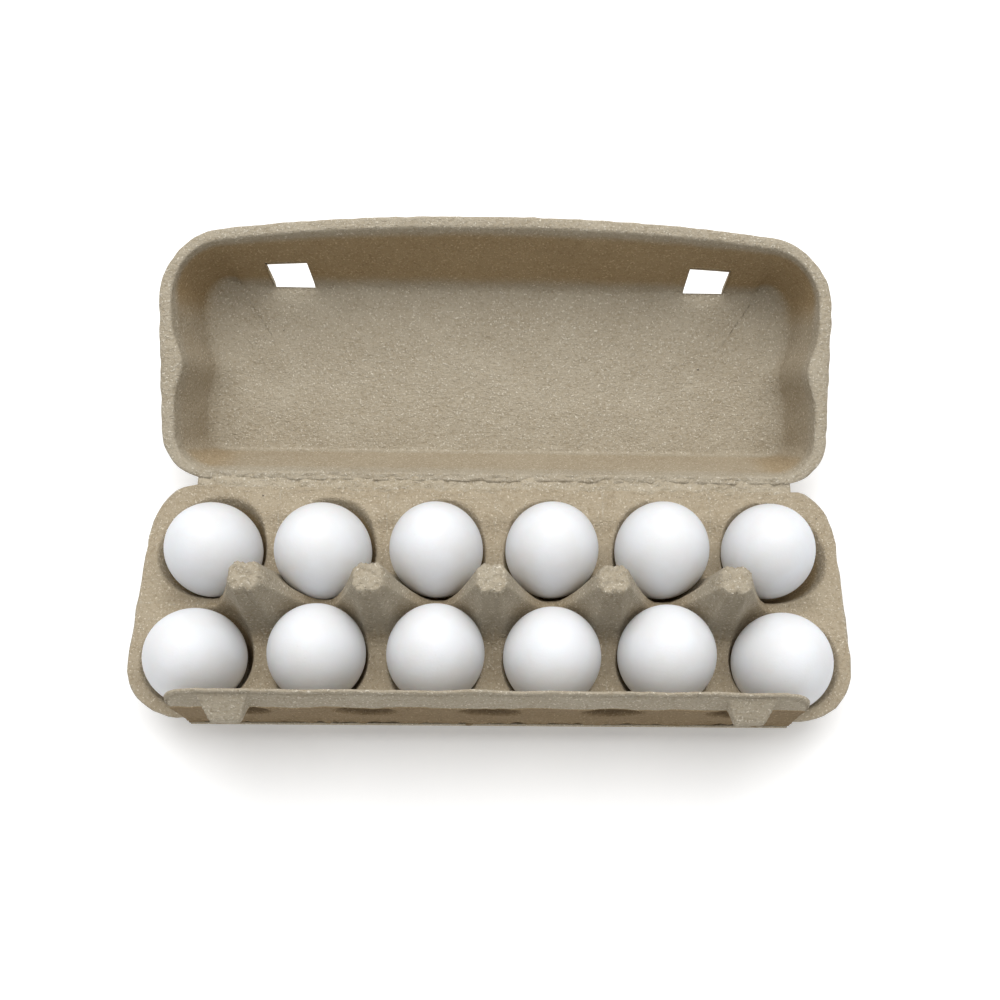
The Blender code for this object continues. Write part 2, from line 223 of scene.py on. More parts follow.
def tray_height(x, y):
    """Land, plus posts, plus end webs; then the lower of that and every cup's tapered wall."""
    x, y = np.broadcast_arrays(x, y)
    land = -HALF_GAP - 4.0 * np.exp(-((np.abs(x) - 134.0) / 7.0) ** 2 - (y / 5.0) ** 2)
    for middle in POST_X:
        dx, dy = x - middle, np.abs(y)
        along = np.clip((POST_REACH_X - np.abs(dx)) / (POST_REACH_X - POST_KNOB), 0.0, 1.0)
        across = np.clip((POST_REACH_Y - dy) / (POST_REACH_Y - POST_KNOB), 0.0, 1.0)
        groove = 3.2 * np.exp(-(dx / 1.9) ** 2) * ease(dy, 4.6, 7.5) * ease(-dy, -13.0, -9.5)
        dip = DIVIDER_DIP * np.exp(-(dx / 8.0) ** 2) * ease(dy, 12.0, 17.0) * ease(-dy, -42.0, -34.0)
        land = land + POST_TOP * along ** 1.4 * across ** 1.2 - groove - dip
    result = land
    for cx, cy in EGG_MIDDLES[:, :2]:
        dx, dy = x - cx, y - (cy - ROW_Y)
        away = np.hypot(dx, dy)
        to_end = dx * np.sign(cx) * (abs(cx) > 2.0 * PITCH)
        to_back = dy * (cy > ROW_Y)
        outward = np.clip(to_end, 0.0, None) ** 2 + np.clip(to_back, 0.0, None) ** 2
        flare = outward / np.maximum(away, 1.0) ** 2
        past = away - CUP_MOUTH_R - CUP_FLARE * flare
        wall = np.where(past < 0.0, CUP_SLOPE, POST_SLOPE) * past
        bowl = -smooth_min(-wall, -FLOOR, 3.0)
        result = smooth_min(bowl, result, 1.5 + 2.0 * flare)
    return np.maximum(result, FLOOR)


print("post tops", round(float(tray_height(POST_X[0], 0.0)) + RIM_Z, 1), "mm above the table")

# %% [markdown]
# ## A grid that follows round cups
#
# A plain square grid would cut the round cup edges into steps. So each cup gets its own grid of
# rings: near the middle the rings are circles, and further out each ring is a mix of the circle
# and the cup's share of the tray, which is a rectangle inside and the rounded outline at the
# ends. Neighbouring cups take the same points along their shared border, so welding closes them.

# %% Twelve ring grids
TILE_EDGE = 26
RING_R = np.concatenate([np.linspace(0.0, 9.5, 4), np.linspace(11.0, 22.2, 20)])
OUTER_RINGS = 15
EDGE_ROWS = 5
CORNER_BACK = (16.1, 25.0)
CORNER_FRONT = (25.0, 24.0)


def edge_share(count):
    """Shares of a side that crowd towards both ends, where the posts are."""
    t = np.linspace(0.0, 1.0, count)
    return t - 0.11 * np.sin(2.0 * math.pi * t)


def tray_limit(x, front):
    """The outline's y at a given x, along its front or its back, with elliptical corners."""
    rx, ry = CORNER_FRONT if front else CORNER_BACK
    past = np.clip((np.abs(x) - (TRAY_HIGH[0] - rx)) / rx, 0.0, 1.0)
    reach = (ROW_Y - TRAY_LOW[1]) if front else (TRAY_HIGH[1] - ROW_Y)
    return reach - ry * (1.0 - np.sqrt(1.0 - past ** 2))


def tile_border(column, front):
    """The border of one cup's share of the tray, anticlockwise, and which of it is outline."""
    side = -1.0 if front else 1.0
    left = -TRAY_HIGH[0] if column == 0 else CUP_X[column] - PITCH / 2.0
    right = TRAY_HIGH[0] if column == 5 else CUP_X[column] + PITCH / 2.0
    share = edge_share(TILE_EDGE + 1)
    xs = left + (right - left) * share
    outer = np.column_stack([xs, side * tray_limit(xs, front)])
    inner = np.column_stack([xs, np.zeros_like(xs)])

    def upright(x, y_outer):
        return np.column_stack([np.full_like(share, x), y_outer * (1.0 - share)])
    near_left, near_right = upright(left, outer[0, 1]), upright(right, outer[-1, 1])
    parts = [outer, near_right, inner[::-1], near_left[::-1]]
    flags = [True, column == 5, False, column == 0]
    border = np.concatenate([part[:-1] for part in parts])
    outline = np.repeat(flags, TILE_EDGE)
    return border, outline


def tile_grid(column, front):
    """Plan of one cup's rings: circles first, then circles mixed with the border."""
    centre = np.array([CUP_X[column], -ROW_HALF if front else ROW_HALF])
    border, outline = tile_border(column, front)
    away = border - centre
    ray = away / np.linalg.norm(away, axis=1, keepdims=True)
    circles = centre + RING_R[:, None, None] * ray
    mix = (np.arange(1, OUTER_RINGS + 1) / OUTER_RINGS)[:, None, None]
    spread = circles[-1] * (1.0 - mix) + border * mix
    return np.concatenate([circles, spread]), outline


def tray_shell(finish):
    """All the cups' rings, front face and back face, joined round the outline by a rounded edge."""
    points, quads, painted_shade, start = [], [], [], 0
    for front in (True, False):
        for column in range(6):
            plan, outline = tile_grid(column, front)
            x, y = plan[..., 0], plan[..., 1]
            upper = tray_height(x, y)
            lower = back_face(tray_height, x, y)
            knob = np.exp(-((np.abs(x[..., None] - POST_X).min(-1) / 6.5) ** 4 + (y / 6.5) ** 4))
            crumble = knob * ease(upper, 30.0, 38.0)
            wave = 0.16 * lumps(x, y, 14.0, 3) + 0.05 * lumps(x, y, 4.0, 4)
            crease = fold_lines(TRAY_HIGH[1] - ROW_Y - y, x, 11) * ease(-np.abs(x), -146.0, -138.0)
            rough = crumble * (0.34 * lumps(x, y, 3.0, 5) + 0.18 * lumps(x, y, 1.4, 6) - 0.3)
            upper, lower = upper + wave + rough + crease, lower + wave + crumble * 0.2 + crease * 0.6
            lower = np.maximum(lower, -RIM_Z + 0.02)
            jag = 0.12 * lumps(x, y, 7.0, 7)[-1] * (outline | np.roll(outline, 1))
            ray = plan[-1] * (1.0, 2.5)
            plan[-1] += jag[:, None] * ray / np.linalg.norm(ray, axis=1, keepdims=True)
            place = np.array([0.0, ROW_Y, RIM_Z])
            top = np.dstack([plan, upper]) + place
            under = np.dstack([plan, lower]) + place
            rows, columns = plan.shape[:2]
            side = front_side(top[-1], under[-1], ray)
            pile = np.concatenate([top.reshape(-1, 3), under.reshape(-1, 3), side.reshape(-1, 3)])
            faces = grid_faces(rows, columns, start, True)
            below = grid_faces(rows, columns, start + rows * columns, True)[:, ::-1]
            strip = grid_faces(len(side), columns, start + 2 * rows * columns, True)
            strip = strip[np.tile(outline, len(side) - 1)]
            turn = -1 if front else 1
            points.append(pile)
            away = np.hypot(x - CUP_X[column], y - np.sign(y + 1e-9) * ROW_HALF)
            # Painted shade on the tray: darker low on the cup walls away from each egg's middle, darker again
            # in the valley between the two rows, at least 0.35 over the land and down in the cups but not on
            # the posts, and 0.25 on the underside.
            shade = ease(-upper, 1.5, 10.0) * ease(away, 8.0, 18.0)
            shade = shade + 0.5 * ease(12.0 - np.abs(y), 0.0, 8.0) * ease(-upper, -30.0, -4.0) * ease(
                2.6 * PITCH - np.abs(x), 0.0, 6.0)
            shade = np.maximum(shade, 0.35 * ease(2.0 - upper, 0.0, 1.5))
            shade = np.clip(shade, 0.0, 1.0).ravel()
            painted_shade.append(np.concatenate([shade, shade * 0.0 + 0.25, np.zeros(side.size // 3)]))
            quads += [part[:, ::turn] for part in (faces, below, strip)]
            start += len(pile)
    points, quads, painted_shade = (np.concatenate(parts) for parts in (points, quads, painted_shade))
    return make_piece("tray_shell", points, quads, finish, painted_shade)


def front_side(top, under, ray):
    """The sheet's edge as a half round: rows of points from the front face to the back face."""
    out = ray / np.linalg.norm(ray, axis=1, keepdims=True)
    out = np.column_stack([out, np.zeros(len(out))])
    rows = []
    for share in np.linspace(0.0, 1.0, EDGE_ROWS):
        rows.append(top * (1.0 - share) + under * share + out * EDGE_BULGE * math.sin(math.pi * share))
    return np.array(rows)


# %% [markdown]
# ## The lid
#
# The lid is a deep tray upside down. Its walls lean in to the panel by a set run, and in the
# rounded corners the run changes smoothly from the end wall's to the front wall's. The grid
# follows the wall: one direction goes round the lid and the other goes down the wall and over
# the panel to its middle line. Grid lines are placed on the edges of the two lock slots, so a
# slot is a block of faces left out, with its own side walls.

# %% The lid as a depth below its rim
LID_DEPTH = 40.6
LID_HALF_X = float(LID_HIGH[0])
LID_FRONT = 118.5
LID_BOW, LID_BOW_X = 8.0, 128.0
FLANGE_SIDE, FLANGE_FRONT = 5.0, 4.2
BACK_EDGE, BACK_IN = 1.7, 5.0
FOOT_FRONT, FOOT_BACK, SIDE_RUN = 92.0, 13.0, 5.0
SIDE_FILLET, FRONT_FILLET, BACK_FILLET = 18.0, 6.5, 2.5
CORNER_R_FRONT, CORNER_R_BACK = 22.0, 16.0
WAIST, WAIST_U, WAIST_WIDTH = 4.3, 52.5, 10.0
SLOT_X, SLOT_HALF = 99.0, 9.6
SLOT_FROM, SLOT_TO = 91.7, 100.6


def lid_edge(x):
    """Distance of the front edge from the hinge: farthest in the middle, bowed back to the ends."""
    return LID_FRONT - LID_BOW * (np.abs(x) / LID_BOW_X) ** 2.2


def lid_side(u):
    """Half length inside the rim, less a bell-shaped waist half way along the end wall."""
    return LID_HALF_X - FLANGE_SIDE - WAIST * np.exp(-((u - WAIST_U) / WAIST_WIDTH) ** 2)


def wall_share(inset, run, reach):
    """Share of the depth: straight down over run, then round into the panel by a cubic superellipse."""
    bend = 1.0 - np.clip(inset / reach, 0.0, 1.0)
    return smooth_min(inset / run, (1.0 - bend ** 3) ** (1.0 / 3.0), 0.08)


def lid_depth(x, u):
    """The lowest share of the way down any wall, times the depth, with a softened rim."""
    x, u = np.broadcast_arrays(x, u)
    side, front = lid_side(u), lid_edge(x) - FLANGE_FRONT
    front_run, back_run = front - FOOT_FRONT, FOOT_BACK - BACK_IN
    share = np.minimum.reduce([wall_share(side - np.abs(x), SIDE_RUN, SIDE_FILLET),
                               wall_share(front - u, front_run, front_run + FRONT_FILLET),
                               wall_share(u - BACK_IN, back_run, back_run + BACK_FILLET)])
    for radius, past, run, extra in ((CORNER_R_FRONT, u - front, front_run, FRONT_FILLET),
                                     (CORNER_R_BACK, BACK_IN - u, back_run, BACK_FILLET)):
        vx, vu = np.abs(x) - side + radius, past + radius
        reach = np.maximum(np.hypot(vx, vu), 1e-6)
        across, along = (vx / reach) ** 2, (vu / reach) ** 2
        turned = wall_share(radius - reach, 1.0 / (across / SIDE_RUN + along / run),
                            SIDE_FILLET * across + (run + extra) * along)
        weight = ease(vx, 0.0, 4.0) * ease(vu, 0.0, 4.0)
        share = share * (1.0 - weight) + turned * weight
    inner = share * LID_DEPTH
    rim = 0.5 * (inner + np.sqrt(inner ** 2 + 0.9)) - 0.2
    return rim + HALF_GAP


def lid_height(x, u):
    return -lid_depth(x, u)


def lid_place(x, u, depth):
    """The open lid: u runs back and up from the hinge, the depth runs down and back."""
    turn = math.radians(OPEN_DEG)
    y = HINGE_Y - u * math.cos(turn) + depth * math.sin(turn)
    z = RIM_Z + u * math.sin(turn) + depth * math.cos(turn)
    return np.stack([x, y, z], -1)


# %% The lid's grid, round the wall and down it
LID_CORNER_X = LID_HALF_X - FLANGE_SIDE - CORNER_R_FRONT
FRONT_COUNT = 167
ROWS_TO_SLOT, SLOT_ROWS, ROWS_PAST_SLOT = 15, 12, 6
WALL_END_SHARE = 1.3
SPINE_HALF = 100.0


def lid_ring(share):
    """A closed ring of x and u at one share of the way down the wall, or on the rim's edge at -1."""
    rim_edge = share < 0.0
    slot_lines = [SLOT_X - SLOT_HALF, SLOT_X + SLOT_HALF]
    half = np.concatenate([np.linspace(0.0, slot_lines[0], 62), np.linspace(*slot_lines, 15)[1:],
                           np.linspace(slot_lines[1], LID_CORNER_X, 9)[1:]])
    x = np.concatenate([-half[::-1], half[1:]])
    inner = lid_edge(x) - FLANGE_FRONT
    front = np.column_stack([x, lid_edge(x) if rim_edge else inner - share * (inner - FOOT_FRONT)])
    inset_end = -FLANGE_SIDE if rim_edge else share * SIDE_RUN

    def corner(turns, end):
        across, along = np.cos(turns) ** 2, np.sin(turns) ** 2
        radius = CORNER_R_FRONT if end > 0 else CORNER_R_BACK
        flange = FLANGE_FRONT if end > 0 else BACK_IN - BACK_EDGE
        run = float(lid_edge(110.0)) - FLANGE_FRONT - FOOT_FRONT if end > 0 else FOOT_BACK - BACK_IN
        inset = share / (across / SIDE_RUN + along / run)
        if rim_edge:
            inset = -(FLANGE_SIDE * across + flange * along)
        cx = LID_HALF_X - FLANGE_SIDE - radius + (radius - inset) * np.cos(turns)
        edge = lid_edge(cx) - FLANGE_FRONT if end > 0 else BACK_IN
        return np.column_stack([cx, edge + end * (-radius + (radius - inset) * np.sin(turns))])
    front_turn = corner(np.radians(np.linspace(90.0, 0.0, 22)[1:]), 1)
    back_turn = corner(np.radians(np.linspace(0.0, 90.0, 18)), -1)
    u = np.linspace(front_turn[-1, 1], back_turn[0, 1], 44)[1:-1]
    wall_x = np.full_like(u, LID_HALF_X) if rim_edge else lid_side(u) - inset_end
    end_run = np.concatenate([front_turn, np.column_stack([wall_x, u]), back_turn])
    back_x = LID_HALF_X - FLANGE_SIDE - CORNER_R_BACK
    scale = back_x / LID_CORNER_X
    back_u = BACK_EDGE if rim_edge else BACK_IN + share * (FOOT_BACK - BACK_IN)
    back = np.column_stack([x[::-1] * scale, np.full_like(x, back_u)])[1:-1]
    mirror = end_run[::-1] * (-1.0, 1.0)
    return np.concatenate([front, end_run, back, mirror])


def lid_shell(finish):
    """Rings from the rim's edge down the wall, then in to the middle line of the panel."""
    slot_inner = lid_edge(SLOT_X) - FLANGE_FRONT
    slot_shares = [float((slot_inner - u) / (slot_inner - FOOT_FRONT)) for u in (SLOT_TO, SLOT_FROM)]
    walls = np.concatenate([np.linspace(0.0, slot_shares[0], ROWS_TO_SLOT + 1),
                            np.linspace(*slot_shares, SLOT_ROWS + 1)[1:],
                            np.linspace(slot_shares[1], WALL_END_SHARE, ROWS_PAST_SLOT + 1)[1:]])
    edge, rim = lid_ring(-1.0), lid_ring(0.0)
    flange = [edge * (1.0 - t) + rim * t for t in (0.0, 0.25, 0.5, 0.75)]
    wall = [lid_ring(share) for share in walls]
    middle_u = (FOOT_FRONT + FOOT_BACK) / 2.0
    end_count = (len(rim) - 2 * FRONT_COUNT + 2) // 2
    front_x, at_end = rim[:FRONT_COUNT, 0], np.full(end_count, SPINE_HALF)
    spine_x = np.concatenate([front_x, at_end, front_x[::-1][1:-1], -at_end])
    spine = np.column_stack([np.clip(spine_x, -SPINE_HALF, SPINE_HALF), np.full(len(rim), middle_u)])
    panel = [wall[-1] * (1.0 - t) + spine * t for t in np.linspace(0.0, 1.0, 26)[1:]]
    plan = np.array(flange + wall + panel)
    x, u = plan[..., 0], plan[..., 1]
    wave = 0.22 * lumps(x, u, 22.0, 21) + 0.06 * lumps(x, u, 5.0, 22)
    ridge = 0.5 * ease(np.abs(x), 123.0, 127.0) * ease(u, 14.0, 20.0) * ease(-u, -88.0, -80.0)
    crease = fold_lines(u - BACK_EDGE, x, 12) * ease(-np.abs(x), -140.0, -130.0)
    inner = lid_depth(x, u) - wave - ridge - crease
    outer = -back_face(lid_height, x, u) - wave - ridge * 0.7 - crease * 0.6
    plan[0] += (0.11 * lumps(x[0], u[0], 6.5, 23))[:, None] * (plan[0] - plan[4]) / 5.0
    front, back = lid_place(x, u, inner), lid_place(x, u, outer)
    pile = stack_shell(front, back)
    rows, columns = pile.shape[:2]
    quads = grid_faces(rows, columns, 0, True)
    row = quads[:, 0] // columns
    column = quads[:, 0] % columns
    top_rows = len(plan)
    first = len(flange) + ROWS_TO_SLOT
    last = first + SLOT_ROWS
    in_front_rows = (row >= top_rows - 1 - last) & (row < top_rows - 1 - first)
    back_start = top_rows + rows - 2 * top_rows
    in_back_rows = (row >= back_start + first) & (row < back_start + last)
    ring_x = rim[:, 0]
    quad_x = (ring_x[column] + ring_x[(column + 1) % columns]) / 2.0
    on_front_wall = (column < FRONT_COUNT - 1) & (np.abs(np.abs(quad_x) - SLOT_X) < SLOT_HALF)
    keep = ~((in_front_rows | in_back_rows) & on_front_wall)
    sides = [slot_wall(pile, ring_x, sign, top_rows, back_start, first, last, columns) for sign in (-1, 1)]
    # Painted shade on the lid: darkest on the inside of the front wall, a lighter painted shade on the end and
    # rear walls, and 0.2 on the outer face.
    share = inner / LID_DEPTH
    front_wall = ease(share, 0.02, 0.2) * ease(-share, -1.02, -0.7) * ease(u, 70.0, 96.0)
    end_wall = ease(share, 0.02, 0.25) * ease(-share, -1.02, -0.72) * ease(np.abs(x), 118.0, 132.0)
    rear_wall = ease(share, 0.05, 0.3) * ease(-share, -1.01, -0.85) * ease(-u, -15.0, -12.0)
    shade = np.clip(front_wall + 0.3 * end_wall + 0.35 * rear_wall, 0.0, 1.0)
    shade = np.concatenate([shade[::-1], np.zeros((rows - 2 * top_rows, columns)), shade * 0.0 + 0.2])
    return make_piece("lid_shell", pile.reshape(-1, 3), np.concatenate([quads[keep]] + sides), finish, shade)


def slot_wall(pile, ring_x, sign, top_rows, back_start, first, last, columns):
    """The four side walls of one slot, from the front face's edge to the back face's."""
    low = int(np.argmin(np.abs(ring_x[:FRONT_COUNT] - (sign * SLOT_X - SLOT_HALF))))
    high = int(np.argmin(np.abs(ring_x[:FRONT_COUNT] - (sign * SLOT_X + SLOT_HALF))))
    across, down = np.arange(low, high + 1), np.arange(first, last + 1)
    loop_r = np.concatenate([np.full(len(across), first), down[1:],
                             np.full(len(across) - 1, last), down[::-1][1:]])
    loop_c = np.concatenate([across, np.full(len(down) - 1, high),
                             across[::-1][1:], np.full(len(down) - 1, low)])
    inner = (top_rows - 1 - loop_r) * columns + loop_c
    outer = (back_start + loop_r) * columns + loop_c
    return np.column_stack([inner[:-1], inner[1:], outer[1:], outer[:-1]])


# %% [markdown]
# ## The lock flap
#
# The flap is a tall lip in front of the tray that stands inside the lid when the carton is shut.
# Its lower part leans in a little and its upper part, above a crease, leans in more. Two wedge
# bosses stand out of it and catch in the lid's slots. Each has a flat ledge below, which holds,
# and a slope above, over which the lid's edge slides. The distance out is a height function of
# x and z, so the flap is made the same way as the tray, only standing up.

# %% The flap as a distance out from its hinge
FLAP_HALF_X = float(FLAP_HIGH[0])
FLAP_FOOT_Z = float(FLAP_LOW[2] - RIM_Z)
FLAP_TOP_Z = float(FLAP_HIGH[2] - RIM_Z)
FLAP_CREASE_Z = 26.5
LEAN_LOW, LEAN_HIGH = math.tan(math.radians(2.5)), math.tan(math.radians(10.0))
FLAP_CORNER = 14.0
BOSS_X = 99.0
BOSS_LOW, BOSS_HIGH, BOSS_OUT = 26.5, 39.5, 6.5
BOSS_HALF_TOP, BOSS_HALF_BOTTOM = 8.4, 6.0
DIMPLE_Z, DIMPLE_HALF_X, DIMPLE_HALF_Z, DIMPLE_DEEP = 21.0, 12.5, 6.0, 3.6


def flap_top(x):
    """Height of the top edge at x: level, with a quarter ellipse down to each end."""
    past = np.clip((np.abs(x) - (FLAP_HALF_X - FLAP_CORNER)) / FLAP_CORNER, 0.0, 1.0)
    drop = FLAP_CORNER * 0.8 * (1.0 - np.sqrt(np.clip(1.0 - past ** 2, 0.0, None)))
    return FLAP_TOP_Z - drop


def flap_out(x, z):
    """Leaning profile, less the lens dimples, plus the bosses and a thickened lip at the top."""
    x, z = np.broadcast_arrays(x, z)
    low, high = z * LEAN_LOW, FLAP_CREASE_Z * LEAN_LOW + (z - FLAP_CREASE_Z) * LEAN_HIGH
    out = smooth_min(-low, -high, 0.5)
    for middle in POST_X:
        reach = ((x - middle) / DIMPLE_HALF_X) ** 2 + ((z - DIMPLE_Z) / DIMPLE_HALF_Z) ** 2
        flat_top = ease(FLAP_CREASE_Z - 0.6 - z, 0.0, 2.0)
        out = out - DIMPLE_DEEP * np.clip(1.0 - reach, 0.0, None) ** 0.7 * flat_top
    for sign in (-1.0, 1.0):
        share = np.clip((z - BOSS_LOW) / (BOSS_HIGH - BOSS_LOW), 0.0, 1.0)
        half = BOSS_HALF_BOTTOM + (BOSS_HALF_TOP - BOSS_HALF_BOTTOM) * share
        flank = np.clip((half + 1.2 - np.abs(x - sign * BOSS_X)) / 2.0, 0.0, 1.0)
        ledge = np.clip((z - BOSS_LOW + 1.2) / 1.2, 0.0, 1.0)
        slope = np.clip((BOSS_HIGH - z) / (BOSS_HIGH - BOSS_LOW - 4.0), 0.0, 1.0)
        boss = BOSS_OUT * np.minimum.reduce([flank, ledge, slope])
        out = out + smooth_min(boss, BOSS_OUT, 0.6).clip(0.0, None)
    lip_groove = 0.55 * np.exp(-((z - (flap_top(x) - 2.4)) / 0.8) ** 2)
    return out - lip_groove - 0.3 * np.exp(-((z - FLAP_CREASE_Z) / 0.7) ** 2)


def flap_shell(finish):
    """A grid of columns along x and rows up to the top edge, with a back face and rounded edges."""
    near_boss = BOSS_X + np.linspace(-11.5, 11.5, 36)
    half = np.concatenate([np.linspace(0.0, near_boss[0], 88)[:-1], near_boss,
                           np.linspace(near_boss[-1], FLAP_HALF_X, 15)[1:]])
    along = np.concatenate([-half[::-1], half[1:]])
    levels = np.unique(np.concatenate([np.linspace(0.0, 0.55, 20), np.linspace(0.55, 0.66, 10),
                                       np.linspace(0.66, 0.92, 22), np.linspace(0.92, 1.0, 8)]))
    x = np.broadcast_to(along, (len(levels), len(along)))
    top = flap_top(along)
    z = FLAP_FOOT_Z + (top - FLAP_FOOT_Z) * levels[:, None]
    wave = 0.16 * lumps(x, z, 16.0, 31) + 0.05 * lumps(x, z, 4.5, 32)
    front = flap_out(x, z) + wave
    behind = back_face(flap_out, x, z) + wave + 0.6 * ease(z, FLAP_TOP_Z - 8.0, FLAP_TOP_Z)
    fold = fold_lines(z - FLAP_FOOT_Z, x, 33) * 0.8
    frame_front = np.stack([x, FLAP_Y - front - fold, RIM_Z + z], -1)
    frame_back = np.stack([x, FLAP_Y - behind - fold, RIM_Z + z], -1)
    ring = border_of(len(levels), len(along))
    # Painted shade on the flap: below the crease and off the bosses a deep painted shade that runs into the
    # darker grey, and darker still in the lens dimples.
    off_boss = ease(BOSS_OUT - 1.5 - np.abs(front + z * LEAN_LOW), 0.0, 1.0)
    shade = 1.75 * ease(FLAP_CREASE_Z - z, 0.0, 1.2) * off_boss
    hollow = np.min([((x - middle) / DIMPLE_HALF_X) ** 2 for middle in POST_X], axis=0)
    shade = shade + ease(1.0 - hollow - ((z - DIMPLE_Z) / DIMPLE_HALF_Z) ** 2, 0.0, 0.6)
    return two_faced(frame_front, frame_back, ring, "flap_shell", finish, shade=shade)


def border_of(rows, columns):
    """Indices of a grid's border points in order round it."""
    index = np.arange(rows * columns).reshape(rows, columns)
    return np.concatenate([index[0, :-1], index[:-1, -1], index[-1, :0:-1], index[:0:-1, 0]])


def two_faced(front, back, ring, name, finish, bulge=0.4, shade=None):
    """Two grids a wall apart, closed round the border by a rounded edge."""
    rows, columns = front.shape[:2]
    a, b = front.reshape(-1, 3), back.reshape(-1, 3)
    middle = a.mean(0)
    along = np.roll(a[ring], -1, 0) - np.roll(a[ring], 1, 0)
    through = b[ring] - a[ring]
    out = np.cross(along, through)
    out = out / np.maximum(np.linalg.norm(out, axis=1, keepdims=True), 1e-9)
    out = out * np.sign(np.einsum("ij,ij->i", out, a[ring] - middle).sum())
    rounds = [a[ring] + through * 0.33 + out * bulge, a[ring] + through * 0.67 + out * bulge]
    count, size = rows * columns, len(ring)
    pile = np.concatenate([a, b] + rounds)
    faces = grid_faces(rows, columns)
    loops = [ring, 2 * count + np.arange(size), 2 * count + size + np.arange(size), count + ring]
    sides = [np.column_stack([lo, np.roll(lo, -1), np.roll(hi, -1), hi]) for lo, hi in zip(loops, loops[1:])]
    quads = np.concatenate([faces, faces[:, ::-1] + count] + [side[:, ::-1] for side in sides])
    # Painted shade, given to the front face only.
    painted_shade = np.zeros(len(pile))
    if shade is not None:
        painted_shade[:count] = shade.ravel()
    return make_piece(name, pile, quads, finish, painted_shade)


# %% [markdown]
# ## The creases
#
# Between the tray, the lid and the flap the sheet is thinner and gets crumpled every time the
# carton is opened. Each crease is a narrow strip with fine folds along it, fixed in place from
# the edge of one piece to the edge of the next.

# %% A crumpled strip
def crease_strip(name, start, end, half_x, finish, seed, fold=0.3, rows=15, columns=221, lap=0.0):
    """Strip across a hinge: straight from start to end, with wandering waves along x on top.

    start and end are (y, z) points of the strip's middle line at its two edges.
    """
    start, end = np.array(start), np.array(end)
    x, t = np.meshgrid(np.linspace(-half_x, half_x, columns), np.linspace(0.0, 1.0, rows))
    run = end - start
    normal = np.array([-run[1], run[0]]) / np.hypot(*run)
    line = start + run * (t[..., None] * (1.0 + 2.0 * lap) - lap)
    wander = lumps(x, t * 0.0, 8.0, seed)
    edge = np.sin(math.pi * t) ** 0.6
    ripple = fold * edge * (np.sin(t * 7.5 + wander * 1.6) + 0.5 * lumps(x, t * 4.0, 3.2, seed + 1))
    offset = ripple + 0.45 * edge - 0.33
    half = (WALL / 2.0 - 0.1 * edge)[..., None] * normal
    middle = line + offset[..., None] * normal
    upper, lower = middle + half, middle - half
    top = np.dstack([x, upper[..., 0], upper[..., 1]])
    under = np.dstack([x, lower[..., 0], lower[..., 1]])
    return two_faced(top, under, border_of(rows, columns), name, finish, bulge=0.25)


# %% [markdown]
# ## The eggs
#
# An egg is close to an ellipsoid with one end blunter than the other. Pushing the widest ring
# up a little, by an amount that follows the cosine of the latitude, makes the blunt end. Eggs
# from one carton differ by about a millimetre, and each stands in its cup at its own small lean.

# %% One egg
EGG_HALF = np.ptp(np.array(box_mm(EGG_NAMES[0])), axis=0) / 2.0
EGG_GIRTH = (0.984, 0.994, 1.016, 1.018, 1.02, 1.02, 0.994, 1.02, 1.006, 1.013, 1.02, 0.993)
EGG_LEAN = ((-1.0, -1.2), (0.0, 0.9), (0.8, 0.9), (0.8, 0.0), (0.2, 0.9), (0.0, -1.4),
            (0.0, -0.9), (-1.2, -1.0), (-0.8, 0.0), (0.9, 0.6), (0.4, 0.7), (-1.4, 0.6))
EGG_LATITUDES, EGG_LONGITUDES = 61, 96


def make_egg(name, middle, girth, lean, draw, finish):
    """Ellipsoid grid of latitude by longitude, sheared by its lean, closed by a point at each pole."""
    lat = np.linspace(0.0, math.pi, EGG_LATITUDES)[:, None]
    lon = np.linspace(0.0, 2.0 * math.pi, EGG_LONGITUDES, endpoint=False)[None, :]
    blunt = draw.uniform(0.02, 0.07)
    radius = EGG_HALF[0] * girth * np.sin(lat) * (1.0 + blunt * np.cos(lat))
    x, y = radius * np.cos(lon), radius * np.sin(lon)
    z = np.broadcast_to(EGG_HALF[2] * draw.uniform(0.985, 1.0) * np.cos(lat), x.shape)
    points = np.stack([x, y, z], -1)
    tilt_x, tilt_y = np.array(lean) / EGG_HALF[2]
    turned = points + np.stack([z * tilt_x, z * tilt_y, -x * tilt_x - y * tilt_y], -1)
    turned = turned - turned[-1, 0] + (0.0, 0.0, -EGG_HALF[2])
    quads = grid_faces(EGG_LATITUDES, EGG_LONGITUDES, 0, True)[:, ::-1]
    return make_piece(name, (turned + middle).reshape(-1, 3), quads, finish, weld=0.0005)


# %% [markdown]
# ## Writing materials as formulas
#
# A node graph is a formula drawn as boxes. The small class below lets the formula be written in
# Python instead: adding or multiplying two values adds a Math node and links it. Every material
# reads the object's own coordinates, so a pattern stays on its piece when the piece moves.

# %% A socket that does arithmetic
class Val:
    """One value in a node tree; adding to it, multiplying it or taking it from a number adds a Math node."""

    def __init__(self, tree, socket):
        self.tree, self.socket = tree, socket

    def _math(self, operation, first, second):
        return self.tree.node("ShaderNodeMath", {"operation": operation}, [first, second])

    def __add__(self, other):
        return self._math("ADD", self, other)

    def __mul__(self, other):
        return self._math("MULTIPLY", self, other)

    def __rsub__(self, other):
        return self._math("SUBTRACT", other, self)

    __radd__, __rmul__ = __add__, __mul__

    def band(self, low, high):
        """0 below low and 1 above high, easing between."""
        return self.tree.node("ShaderNodeMapRange", {"interpolation_type": "SMOOTHSTEP"},
                              {"Value": self, "From Min": low, "From Max": high})


